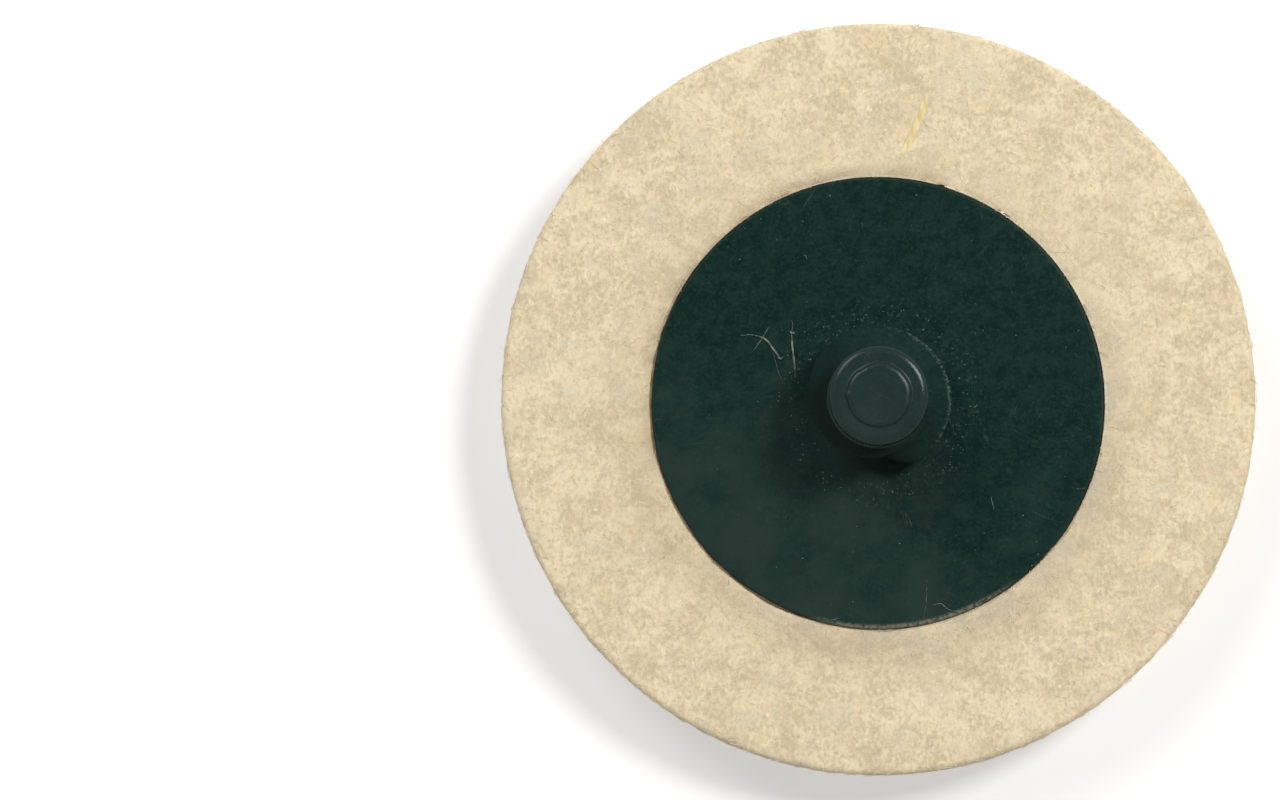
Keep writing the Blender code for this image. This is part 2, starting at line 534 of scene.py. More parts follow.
def felt_material(settings):
    """Pressed wool: clouded beige with fine tangled fibres and pits, soiling mixed with painted shade
    round the flange, painted contact shadows beside it and a painted highlight on the seat's lip.
    """
    material, graph, place = new_material("pressed_wool")
    normal = graph.add("ShaderNodeNewGeometry", output="Normal")
    facing = graph.ramp(abs(graph.split(normal)[2]), 0.45, 0.8)

    clouds = graph.noise(place, 0.36, 3.0, 0.6, 0.6)
    flocks = graph.noise(graph.placed(place, (1, 1, 1.8), shift=(40, 0, 0)), 1.1, 3.0, 0.6)
    grain = graph.noise(graph.placed(place, (1, 0.7, 1), shift=(0, 60, 0)), 3.8, 2.0, 0.6)
    tone = 0.51 + 2.6 * (clouds - 0.5) + 1.8 * (flocks - 0.5) + 2.8 * (grain - 0.5)

    flat_lines = fibre_field(graph, place, 6, lambda index: (0, 0, index * pi / 6 + 0.3))
    side_lines = fibre_field(graph, place, 3, lambda index: (0.16 * (index - 1), 0.1, index * pi / 3))
    inputs = {0: facing, 2: side_lines, 3: flat_lines}
    lines = graph.add("ShaderNodeMix", inputs, data_type="FLOAT")

    tan_tone = tuple(settings.tan_tone)
    colour = graph.mix(graph.ramp(tone, 0.0, 1.0, False), tan_tone, tuple(settings.cream))
    grey = graph.patches(place, (0, 0, 0), 0.42, 0.48, 0.66)
    warm = graph.patches(place, (9, 9, 0), 0.5, 0.55, 0.72)
    rosy = graph.patches(place, (3, 30, 8), 0.8, 0.55, 0.70)
    pits = graph.patches(place, (0, 0, 25), 3.0, 0.62, 0.76, 2.0)
    short = graph.placed(place, (1, 0.6, 1), shift=(50, 0, 5))
    glints = graph.ramp(graph.noise(short, 3.6, 1.0), 0.70, 0.80)

    x, y, z, reach = graph.cylindrical(place)
    rim = SEAT_RADIUS / MM
    above = graph.ramp(z, 0.8 * FELT_BACK / MM, FELT_BACK / MM - 0.3)
    uneven = graph.patches(place, (0, 0, 0), 0.5, 0.30, 0.62)
    across = (y - x) / (1.414 * reach)
    along = (y + x) / (1.414 * reach)
    # Painted contact shadows beside the flange: brown towards the upper left, grey towards the lower
    # right.
    brown_contact_shadow = (1 - graph.ramp(reach, rim - 0.1, rim + 1.3)) * graph.ramp(across, 0.1, 0.9)
    grey_contact_shadow = (1 - graph.ramp(reach, rim, rim + 2.6)) * graph.ramp(across, 0.2, -0.9)
    # Darker within 6 mm of the flange, on top: partly soiling, partly painted shade.
    soiled_and_shaded = (1 - graph.ramp(reach, rim, rim + 6.0)) * above
    # A painted highlight on the seat's lip, on the side towards the key light.
    lip_highlight = (1 - graph.ramp(reach, rim + 0.12, rim + 0.26)) * graph.ramp(along, 0.1, 0.6)
    colour = graph.layered(
        colour,
        (0.50, grey, (0.600, 0.525, 0.385)),
        (0.50, warm, (0.78, 0.60, 0.335)),
        (0.50, rosy, (0.75, 0.56, 0.405)),
        (0.52, pits, (0.40, 0.30, 0.18)),
        (0.18, lines, (0.90, 0.82, 0.64)),
        (0.45, glints, (0.95, 0.89, 0.73)),
        (0.62, brown_contact_shadow * uneven * above, (0.22, 0.155, 0.085)),
        (0.55, grey_contact_shadow * uneven * above, (0.44, 0.40, 0.33)),
        (0.30, soiled_and_shaded, (0.52, 0.43, 0.28)),
        (0.45, lip_highlight * above, (0.80, 0.75, 0.60)),
    )

    height = 0.40 * lines + 0.40 * grain + 0.45 * flocks - 0.4 * pits
    return finish_material(
        material,
        {"Base Color": colour, "Normal": graph.bump(height, 0.030 * MM, 0.7)},
        {"Roughness": 1.0, "Specular IOR Level": 0.15, "Sheen Weight": 0.18, "Sheen Roughness": 0.5},
    )


class DISC_OT_felt(bpy.types.Operator):
    """Make the pressed felt disc"""

    bl_idname = "disc.felt"
    bl_label = "Felt Disc"

    def execute(self, context):
        settings = context.scene.felt_settings
        data = closed_mesh("felt_disc_pressed", felt_rows())
        relieved(data, settings.relief)
        piece = new_piece(
            "felt_disc_pressed", data, felt_material(settings), ("felt_disc",), sharp=False
        )
        return {"FINISHED"}


# ---- loose fibres

FIBRE_STEPS = 6
FIBRE_SIDES = 3
FIBRE_WAVINESS = 0.35 * MM
FIBRE_CORNERS = ("Start", "Start Handle", "End Handle", "End")
# Each shape's control points, in shares of a fibre's length along and across it, and in
# shares of its lift above the felt.
FIBRE_SHAPES = (
    ((-0.50, 0.00, -1.0), (-0.20, 0.07, 1.4), (0.18, -0.06, 1.2), (0.50, 0.02, -1.0)),
    ((-0.50, -0.04, -1.0), (-0.22, 0.12, 1.6), (0.24, 0.10, 0.4), (0.50, -0.02, -0.8)),
    ((-0.48, 0.00, -0.8), (-0.05, 0.04, 1.8), (0.34, 0.12, 1.0), (0.42, 0.30, 0.4)),
)


def new_tree(name, inputs):
    """A geometry tree with named inputs and their defaults, where None stands for a material."""
    kinds = {float: "Float", int: "Int", type(None): "Material"}
    tree = bpy.data.node_groups.new(name, "GeometryNodeTree")
    tree.interface.new_socket("Geometry", in_out="INPUT", socket_type="NodeSocketGeometry")
    tree.interface.new_socket("Geometry", in_out="OUTPUT", socket_type="NodeSocketGeometry")
    for label, default in inputs.items():
        kind = "NodeSocket" + kinds[type(default)]
        socket = tree.interface.new_socket(label, in_out="INPUT", socket_type=kind)
        if default is not None:
            socket.default_value = default
    graph = Graph(tree)
    entry = tree.nodes.new("NodeGroupInput")
    given = {output.name: Value(graph, output) for output in entry.outputs if output.name}
    return tree, graph, given


def close_tree(graph, result, material):
    """Give the result its material and lead it to the tree's output."""
    inputs = {"Geometry": result, "Material": material}
    coated = graph.add("GeometryNodeSetMaterial", inputs)
    leave = graph.tree.nodes.new("NodeGroupOutput")
    graph.tree.links.new(coated.socket, leave.inputs[0])


def combined(graph, x, y, z):
    """A vector of three numbers."""
    return graph.add("ShaderNodeCombineXYZ", {"X": x, "Y": y, "Z": z})


def random_vector(graph, low, high, seed):
    """A random vector for each instance."""
    inputs = {0: low, 1: high, "Seed": seed}
    return graph.add("FunctionNodeRandomValue", inputs, data_type="FLOAT_VECTOR")


def scattered_points(graph, given, density):
    """Points scattered over the faces of the tree's geometry."""
    inputs = {"Mesh": given["Geometry"], "Density": density, "Seed": given["Seed"]}
    kind = "GeometryNodeDistributePointsOnFaces"
    return graph.add(kind, inputs, distribute_method="RANDOM")


def fibre_shapes(graph, given):
    """One solid fibre for each row of FIBRE_SHAPES, as a set of instances to pick from."""
    inputs = {"Resolution": FIBRE_SIDES, "Radius": given["Thickness"] * 0.5}
    profile = graph.add("GeometryNodeCurvePrimitiveCircle", inputs, mode="RADIUS")
    length, lift = given["Length"], given["Lift"]
    solids = []
    for corners in FIBRE_SHAPES:
        inputs = {"Resolution": FIBRE_STEPS}
        for key, (along, across, rise) in zip(FIBRE_CORNERS, corners):
            inputs[key] = combined(graph, length * along, length * across, lift * rise)
        line = graph.add("GeometryNodeCurvePrimitiveBezierSegment", inputs, mode="POSITION")
        inputs = {"Curve": line, "Profile Curve": profile, "Fill Caps": True}
        solids.append(graph.add("GeometryNodeCurveToMesh", inputs))
    choice = graph.tree.nodes.new("GeometryNodeGeometryToInstance")
    for solid in solids:
        graph.tree.links.new(solid.socket, choice.inputs[0])
    return Value(graph, choice.outputs[0])


def fibre_tree():
    """Scatters curved fibres over a surface, each lying along it with its own turn and tone."""
    inputs = {
        "Density": 1e6,
        "Length": 1.0 * MM,
        "Thickness": 0.04 * MM,
        "Lift": 0.06 * MM,
        "Tilt": 0.05,
        "Waviness": 0.1 * MM,
        "Seed": 0,
        "Material": None,
    }
    tree, graph, given = new_tree("scattered_fibres", inputs)
    choice = fibre_shapes(graph, given)
    points = scattered_points(graph, given, given["Density"])
    upright = Value(graph, points.socket.node.outputs["Rotation"])
    lean = given["Tilt"]
    low = combined(graph, lean * -1, lean * -1, -pi)
    high = combined(graph, lean, lean, pi)
    spin = random_vector(graph, low, high, given["Seed"] + 1)
    turned = graph.add("FunctionNodeEulerToRotation", {"Euler": spin})
    inputs = {"Rotation": upright, "Rotate By": turned}
    turn = graph.add("FunctionNodeRotateRotation", inputs, rotation_space="LOCAL")
    stretch = random_vector(graph, (0.5, 0.5, 0.6), (1.45, 1.3, 1.2), given["Seed"] + 2)
    inputs = {"Points": points, "Instance": choice, "Rotation": turn, "Scale": stretch}
    inputs["Pick Instance"] = True
    spread = graph.add("GeometryNodeInstanceOnPoints", inputs)
    inputs = {2: 0.0, 3: 1.0, "Seed": given["Seed"] + 3}
    tone = graph.add("FunctionNodeRandomValue", inputs, output=1, data_type="FLOAT")
    inputs = {"Geometry": spread, "Name": "tone", "Value": tone}
    kind = "GeometryNodeStoreNamedAttribute"
    toned = graph.add(kind, inputs, data_type="FLOAT", domain="INSTANCE")
    loose = graph.add("GeometryNodeRealizeInstances", {"Geometry": toned})
    position = graph.add("GeometryNodeInputPosition")
    inputs = {"Vector": position, "Scale": 0.9 / MM, "Detail": 1.0}
    field = graph.add("ShaderNodeTexNoise", inputs, output="Color", noise_dimensions="3D")
    inputs = {0: field, 1: (0.5, 0.5, 0.5)}
    centred = graph.add("ShaderNodeVectorMath", inputs, operation="SUBTRACT")
    wave = combined(graph, given["Waviness"], given["Waviness"], 0.0)
    inputs = {0: centred, 1: wave}
    offset = graph.add("ShaderNodeVectorMath", inputs, operation="MULTIPLY")
    inputs = {"Geometry": loose, "Offset": offset}
    waved = graph.add("GeometryNodeSetPosition", inputs)
    close_tree(graph, waved, given["Material"])
    return tree


def zone_of(source, keep):
    """A hidden carrier holding only those faces of a piece that keep(centre, normal) takes."""
    shape = bmesh.new()
    shape.from_mesh(source.data)
    shape.normal_update()
    away = [face for face in shape.faces if not keep(face.calc_center_median(), face.normal)]
    bmesh.ops.delete(shape, geom=away, context="FACES")
    return new_object("zone", mesh_of(shape, "zone"))


def grown(carrier, tree, values):
    """The plain mesh that a tree makes of a carrier, which is removed."""
    modifier = carrier.modifiers.new("scatter", "NODES")
    modifier.node_group = tree
    for item in tree.interface.items_tree:
        if item.item_type == "SOCKET" and item.in_out == "INPUT" and item.name in values:
            modifier[item.identifier] = values[item.name]
    depsgraph = bpy.context.evaluated_depsgraph_get()
    data = bpy.data.meshes.new_from_object(carrier.evaluated_get(depsgraph))
    flat = carrier.data
    bpy.data.objects.remove(carrier, do_unlink=True)
    bpy.data.meshes.remove(flat)
    if not data.polygons:
        raise RuntimeError(f"{tree.name} made nothing")
    return data


def fibre_material(settings):
    """Single wool fibres: each with its own tone, a little paler than the felt."""
    material, graph, place = new_material("loose_wool_fibre")
    cream = tuple(settings.cream)
    tone = graph.add("ShaderNodeAttribute", output="Fac", attribute_name="tone")
    colour = graph.mix(graph.ramp(tone, 0.0, 0.6, False), cream, (0.88, 0.79, 0.59, 1))
    colour = graph.mix(graph.ramp(tone, 0.97, 0.975), colour, (0.70, 0.52, 0.27, 1))
    colour = graph.mix(graph.ramp(tone, 0.994, 0.996), colour, (0.40, 0.29, 0.18, 1))
    scales = graph.noise(place, 9.0, 2.0)
    return finish_material(
        material,
        {"Base Color": graph.mix(0.25 * scales, colour, cream), "Roughness": 0.55 + 0.25 * scales},
        {"Specular IOR Level": 0.35, "Sheen Weight": 0.1},
    )


class DISC_OT_fibres(bpy.types.Operator):
    """Scatter loose fibres over the felt's back, face and edge"""

    bl_idname = "disc.fibres"
    bl_label = "Loose Fibres"

    def execute(self, context):
        settings = context.scene.felt_settings
        felt = bpy.data.objects["felt_disc_pressed"]
        tree = fibre_tree()
        material = fibre_material(settings)
        covered = SEAT_RADIUS + SEAT_LIP
        # Each zone: which of the felt's faces it takes, and its density, lift and tilt.
        zones = {
            "felt_fibres_back": (
                lambda centre, normal: normal.z > 0.6 and hypot(centre.x, centre.y) > covered,
                (2.2e6, 0.015 * MM, 0.02),
            ),
            "felt_fibres_face": (lambda centre, normal: normal.z < -0.6, (2.0e6, 0.02 * MM, 0.02)),
            "felt_fibres_edge": (
                lambda centre, normal: abs(normal.z) < 0.9 and centre.z > 0.3 * MM,
                (4.0e6, 0.03 * MM, 0.08),
            ),
        }
        for index, (name, (keep, (density, lift, tilt))) in enumerate(zones.items()):
            values = {
                "Density": density,
                "Lift": lift,
                "Tilt": tilt,
                "Length": settings.fibre_length,
                "Thickness": settings.fibre_thickness,
                "Waviness": FIBRE_WAVINESS,
                "Seed": settings.fibre_seed + 10 * index,
                "Material": material,
            }
            data = grown(zone_of(felt, keep), tree, values)
            for vertex in data.vertices:
                vertex.co.z = max(vertex.co.z, FELT_FACE)
            new_piece(name, data, material, sharp=False)
        return {"FINISHED"}


# ---- the bond

BOND_COLUMNS = 360
BOND_SIDE = radians(218)
BOND_LOW = SEAT_FLOOR + 0.05 * MM
BOND_UNDER = FLANGE_BOTTOM - 0.03 * MM


def apart(angle, other):
    """How far apart two angles are, from 0 to pi."""
    return abs((angle - other + pi) % (2 * pi) - pi)


def squeezed(angle):
    """How far the bond has been squeezed out at an angle, from 0 to 1."""
    place = Vector((cos(angle) * 4.5, sin(angle) * 4.5, 2.0))
    towards = max(0.0, cos((angle - BOND_SIDE) * 1.1)) ** 0.6
    if apart(angle, BOND_SIDE) > radians(80):
        towards = 0.0
    return held(towards + 0.45 * noise.fractal(place, 0.9, 2.0, 3))


def bond_ring(out, rise, more_out, more_rise):
    """A ring beside the flange's side, in mm out from it and up from the flange's underside."""

    def shape(angle, round_share):
        pressed = squeezed(angle)
        radius = FLANGE_RADIUS + (out + more_out * pressed) * MM
        return radius, FLANGE_BOTTOM + (rise + more_rise * pressed) * MM

    return shaped_ring(BOND_COLUMNS, 0.0, shape)


def bond_rows():
    """Rows of the bond: under the flange, out into the seat's gap, and up the flange's side."""
    inner = (4 * MM, 10 * MM, 14.6 * MM)
    # Each step: distance out and height, then what is added where most is squeezed out.
    steps = (
        (0.00, -0.55, 0.00, 0.00),
        (0.00, 0.10, 0.00, 0.10),
        (0.01, 0.45, 0.02, 0.30),
        (0.02, 0.52, 0.03, 0.35),
        (0.00, 0.55, 0.02, 0.37),
        (-0.05, 0.56, -0.01, 0.37),
        (-0.12, 0.45, -0.10, 0.30),
    )
    rows = [ring(radius, BOND_LOW, BOND_COLUMNS) for radius in inner]
    rows += [bond_ring(*step) for step in steps]
    rows += [ring(radius, BOND_UNDER, BOND_COLUMNS) for radius in reversed(inner)]
    return rows


def bond_material(settings):
    """Hot-melt adhesive: amber, clouded and rather glossy."""
    material, graph, place = new_material("hot_melt_bond")
    clouds = graph.noise(place, 1.1, 4.0, 0.6)
    amber = tuple(settings.bond)
    colour = graph.mix(graph.ramp(clouds, 0.35, 0.70), amber, (0.26, 0.18, 0.08, 1))
    dark = graph.ramp(graph.noise(place, 3.0, 2.0), 0.6, 0.8)
    colour = graph.mix(0.5 * dark, colour, (0.10, 0.055, 0.02, 1))
    return finish_material(
        material,
        {
            "Base Color": colour,
            "Roughness": 0.28 + 0.3 * clouds,
            "Normal": graph.bump(clouds, 0.05 * MM, 0.6),
        },
        {"Coat Weight": 0.2},
    )


class DISC_OT_bond(bpy.types.Operator):
    """Make the hot-melt bond between the felt and the flange"""

    bl_idname = "disc.bond"
    bl_label = "Hot-melt Bond"

    def execute(self, context):
        settings = context.scene.felt_settings
        new_piece(
            "hot_melt_bond",
            closed_mesh("hot_melt_bond", bond_rows()),
            bond_material(settings),
            ("adhesive_layer",),
        )
        return {"FINISHED"}


# ---- the hub

HUB_COLUMNS = 288
FLANGE_RINGS = 40
RIM_ROUNDING = 0.15 * MM
RIM_STEPS = 5
LOWER_ROUNDING = 0.1 * MM
FLANGE_SINK = 0.020 * MM
BURR = 0.16 * MM
NICK = 0.14 * MM
NOSE_BEVEL = 0.20 * MM
PIP_ROUNDING = 0.12 * MM
PIP_BEVEL = 0.16 * MM
BEVEL_SLOPE = radians(19)
RIDGE_STEPS = 12
BURR_ANGLE = radians(73.7)
NICK_ANGLE = radians(62)
PIP_NICK_ANGLE = radians(180)
PIP_FLAT_ANGLE = radians(118)


def near_angle(angle, centre, width):
    """1 at the centre angle, falling to 0 over the width."""
    return max(0.0, 1 - (apart(angle, centre) / width) ** 2) ** 2


def ridge_height(share):
    """The thread ridge's section over one pitch, from 0 at the root to 1 on its rounded crest."""
    away = abs(share - 0.5)
    inner, outer = 0.10, 0.37
    t = held((away - inner) / (outer - inner))
    return 1 - t * t * (3 - 2 * t)


def ridge_strength(turn):
    """How much of the thread's full depth stands at this many turns from its lower end."""
    least = min(held(turn / THREAD_RUN_OUT), held((THREAD_TURNS - turn) / THREAD_LEAD_IN))
    eased = least * least * (3 - 2 * least)
    return (least + eased) / 2


def hub_ring(radius, height):
    """A level ring whose columns stand at the thread's own angles."""
    return ring(radius, height, HUB_COLUMNS, THREAD_START_ANGLE)


def thread_rows(bottom, top):
    """Rows that follow the right-hand helix, held at either level where the core is plain."""
    depth = CREST_RADIUS - CORE_RADIUS
    first_root = FLANGE_TOP + THREAD_FIRST_ROOT
    lowest = int((bottom - first_root) / THREAD_PITCH) - 2
    highest = int((top - first_root) / THREAD_PITCH) + 1
    rows = []
    for turn in range(lowest, highest + 1):
        for step in range(2 * RIDGE_STEPS):
            share = step / (2 * RIDGE_STEPS)

            def shape(angle, round_share, turn=turn, share=share):
                along = turn + round_share
                strength = ridge_strength(along)
                level = first_root + THREAD_PITCH * (along + share)
                radius = CORE_RADIUS + depth * ridge_height(share) * strength
                return radius, min(top, max(bottom, level))

            rows.append(shaped_ring(HUB_COLUMNS, THREAD_START_ANGLE, shape))
    return rows


def rim_row(radius, height, settings, share):
    """One ring of the flange's trimmed rim, which wanders and has a burr and a nick."""

    def shape(angle, round_share):
        place = Vector((cos(angle) * 5, sin(angle) * 5, share))
        wander = settings.rim_roughness * noise.fractal(place, 0.7, 2.0, 4)
        burr = BURR * near_angle(angle, BURR_ANGLE, radians(1.6)) * share
        nick = NICK * near_angle(angle, NICK_ANGLE, radians(1.1)) * share
        return radius + share * wander + burr - nick, height

    return shaped_ring(HUB_COLUMNS, THREAD_START_ANGLE, shape)


def flange_rows(settings):
    """Rows of the flange, from the middle of its underside round its rim to the stud's foot."""
    rows = [hub_ring(radius, FLANGE_BOTTOM) for radius in (3 * MM, 9 * MM, 13.5 * MM)]
    flat = FLANGE_RADIUS - RIM_ROUNDING
    low = FLANGE_BOTTOM + LOWER_ROUNDING
    lower = arc(FLANGE_RADIUS - LOWER_ROUNDING, low, LOWER_ROUNDING, -pi / 2, 0, 3)
    upper = arc(flat, FLANGE_TOP - RIM_ROUNDING, RIM_ROUNDING, 0, pi / 2, RIM_STEPS)
    for radius, height in lower:
        rows.append(rim_row(radius, height, settings, 1.0))
    for index, (radius, height) in enumerate(upper):
        rows.append(rim_row(radius, height, settings, 1.0 - 0.5 * index / RIM_STEPS))
    foot = CORE_RADIUS + FOOT_RADIUS
    for radius in spaced(flat - 0.15 * MM, foot, FLANGE_RINGS):
        row = hub_ring(radius, FLANGE_TOP)
        for point in row:
            sink = noise.fractal(point / MM * 0.16, 1.0, 2.0, 2)
            point.z += FLANGE_SINK * min(0.0, sink) * (1 - (radius / flat) ** 8)
        rows.append(row)
    curve = arc(foot, FLANGE_TOP + FOOT_RADIUS, FOOT_RADIUS, -pi / 2, -pi, 5)
    rows += [hub_ring(radius, height) for radius, height in curve]
    return rows


def bevelled(radius, top, rounding, bevel):
    """A rounded corner that ends in a narrow sloping bevel, as (radius, height) pairs."""
    drop = bevel * tan(BEVEL_SLOPE)
    low = top - drop - rounding * cos(BEVEL_SLOPE)
    outline = arc(radius - rounding, low, rounding, 0, pi / 2 - BEVEL_SLOPE, 5)
    outline.append((radius - rounding * (1 - sin(BEVEL_SLOPE)) - bevel, top))
    return outline


def nose_rows():
    """Rows of the stud's plain nose, its flat end and the round pip, with the gate's nick."""
    outline = bevelled(CORE_RADIUS, STUD_END, NOSE_ROUNDING - 0.06 * MM, NOSE_BEVEL)
    for radius in (2.7 * MM, 2.5 * MM, 2.3 * MM, 2.22 * MM):
        outline.append((radius, STUD_END))
    pip = [(PIP_RADIUS + 0.13 * MM, STUD_END), (PIP_RADIUS + 0.02 * MM, STUD_END + 0.09 * MM)]
    pip += bevelled(PIP_RADIUS, PIP_TOP, PIP_ROUNDING, PIP_BEVEL)
    for radius in spaced(PIP_RADIUS - 0.3 * MM, 0.1 * MM, 10):
        pip.append((radius, PIP_TOP))
    rows = [hub_ring(radius, height) for radius, height in outline]
    for radius, height in pip:

        def shape(angle, round_share, radius=radius, height=height):
            nick = near_angle(angle, PIP_NICK_ANGLE, radians(9))
            flat = near_angle(angle, PIP_FLAT_ANGLE, radians(28))
            wander = noise.fractal(Vector((cos(angle) * 2, sin(angle) * 2, 3)), 1, 2.0, 2)
            share = min(1.0, radius / PIP_RADIUS) ** 6
            change = (0.10 * nick - 0.08 * flat + 0.05 * wander) * MM * share
            return radius + change, height

        rows.append(shaped_ring(HUB_COLUMNS, THREAD_START_ANGLE, shape))
    return rows


def scratches(graph, place):
    """Fine straight scratches in several directions, each broken off here and there."""
    lines = []
    for index in range(4):
        turn = (0, 0, 0.5 + 0.83 * index)
        turned = graph.placed(place, turn=turn, shift=(31.0 * index, 7, 0))
        drawn = graph.placed(turned, (1 / 9.0, 1 / 0.55, 0.05))
        value = graph.noise(drawn, 1.0, 0.0, 0.5, 0.15)
        line = 1 - graph.ramp(abs(value - 0.5), 0.0, 0.006)
        part = graph.placed(place, shift=(9.0 * index, 0, 9))
        lines.append(line * graph.ramp(graph.noise(part, 0.35), 0.58, 0.72))
    return graph.most(lines)


def nylon_material(settings):
    """Moulded nylon: dark green, faintly mottled, scuffed round the stud and scratched, with a patchy
    painted reflection and painted shade and highlights on the thread.
    """
    material, graph, place = new_material("moulded_green_nylon")
    x, y, z, reach = graph.cylindrical(place)
    stud_end = STUD_END / MM
    rim = FLANGE_RADIUS / MM
    crest = CREST_RADIUS / MM
    mottle = graph.noise(place, 0.9, 4.0, 0.65, 0.3)
    fine = graph.noise(place, 4.2, 4.0, 0.7)

    clouds = graph.noise(graph.placed(place, shift=(5, 8, 0)), 0.22, 4.0, 0.6)
    # A patchy painted reflection: paler and greyer towards the lower left.
    leaning = (0.47 * x + 0.88 * y) / (-2.0 * reach)
    painted_sheen = graph.ramp(clouds + 0.65 * leaning, 0.44, 0.95)
    raised = graph.ramp(z, stud_end - 1.2, stud_end - 0.2)
    speck = graph.ramp(graph.noise(place, 4.6, 1.0), 0.70, 0.80)
    scuffs = graph.noise(graph.placed(place, shift=(0, 11, 0)), 3.6, 2.0, 0.7)
    scuffs = graph.ramp(scuffs, 0.58, 0.74) * graph.ramp(reach, 4.9, 5.6)
    scuffs = scuffs * (1 - graph.ramp(reach, 6.4, 7.6))
    scratch = scratches(graph, place)
    # The flange's rim: smeared with adhesive, and pale and frayed towards -Y.
    outermost = graph.ramp(reach, rim - 0.20, rim - 0.05)
    below = (x * 0.45 + y) / (-1.1 * rim)
    smear = outermost * (0.45 + 0.55 * graph.ramp(below, 0.25, 0.75))
    frayed = graph.ramp((0.17 * x - 0.985 * y) / rim, 0.86, 0.97)
    frayed = frayed * graph.ramp(reach, rim - 0.40, rim - 0.12) * graph.ramp(fine, 0.30, 0.60)
    # The thread: painted shade on the side away from the key light, and a painted highlight along its
    # crest on the side towards it.
    above_foot = graph.ramp(z, FLANGE_TOP / MM + 0.3, FLANGE_TOP / MM + 0.6)
    threaded = graph.ramp(reach, 3.25, 3.4) * above_foot
    lit = graph.ramp((x * 0.8 + y * 0.6) / crest, -0.5, 0.6)
    crest_highlight = graph.ramp(reach, crest - 0.30, crest - 0.05) * graph.ramp(fine, 0.44, 0.60)
    towards_key_light = graph.ramp((x * 0.94 + y * 0.34) / crest, 0.35, 0.90)
    nosed = graph.ramp(z, stud_end - 0.45, stud_end - 0.3)
    nosed = nosed * graph.ramp(reach, PIP_RADIUS / MM + 0.5, PIP_RADIUS / MM + 0.7)

    green = tuple(settings.green)
    colour = graph.mix(graph.ramp(mottle, 0.34, 0.66), green, (0.0055, 0.0235, 0.0175, 1))
    colour = graph.layered(
        colour,
        (0.95, painted_sheen, (0.0185, 0.0350, 0.0290)),
        (0.60, raised, (0.0175, 0.0315, 0.0290)),
        (0.80, graph.ramp(fine, 0.45, 0.75), (0.0150, 0.0360, 0.0280)),
        (0.45, speck, (0.035, 0.060, 0.052)),
        (0.50, scuffs, (0.060, 0.085, 0.075)),
        (0.28, scratch, (0.060, 0.085, 0.075)),
        (0.80, smear, (0.018, 0.015, 0.007)),
        (0.70, frayed, (0.24, 0.225, 0.165)),
        (0.75, threaded * (1 - lit), (0.0008, 0.0085, 0.0060)),
        (0.75, crest_highlight * threaded * towards_key_light, (0.110, 0.150, 0.135)),
    )
    rough = 0.20 + 0.08 * mottle + 0.07 * fine + 0.15 * scuffs + 0.60 * threaded
    rough = rough - 0.06 * nosed + 0.45 * outermost
    height = 0.5 * fine + 0.35 * mottle - 0.6 * scratch + 0.4 * scuffs
    normal = graph.bump(height, 0.012 * MM, 0.7)
    return finish_material(
        material,
        {"Base Color": colour, "Roughness": rough, "Normal": normal},
        {"Specular IOR Level": 0.15},
    )


class DISC_OT_hub(bpy.types.Operator):
    """Make the moulded hub with its flange, thread and nose"""

    bl_idname = "disc.hub"
    bl_label = "Threaded Hub"

    def execute(self, context):
        settings = context.scene.hub_settings
        rows = flange_rows(settings)
        rows += thread_rows(FLANGE_TOP + FOOT_RADIUS, STUD_END - NOSE_ROUNDING)
        rows += nose_rows()
        new_piece(
            "threaded_hub_moulding",
            closed_mesh("threaded_hub_moulding", rows),
            nylon_material(settings),
            ("threaded_hub",),
        )
        return {"FINISHED"}


# ---- lint, straw and dust

DUST_SIZE = 0.12 * MM
DUST_REACH = 5.8 * MM
LINT_DARK = (0.026, 0.045, 0.038, 1)
LINT_PALE = (0.18, 0.23, 0.20, 1)
DUST_DARK = (0.014, 0.032, 0.026, 1)
DUST_PALE = (0.15, 0.19, 0.165, 1)


def lifted(route, height):
    """Points given in mm across the disc, with their height above a level, in metres."""
    return [(x * MM, y * MM, height + z * MM) for x, y, z in route]


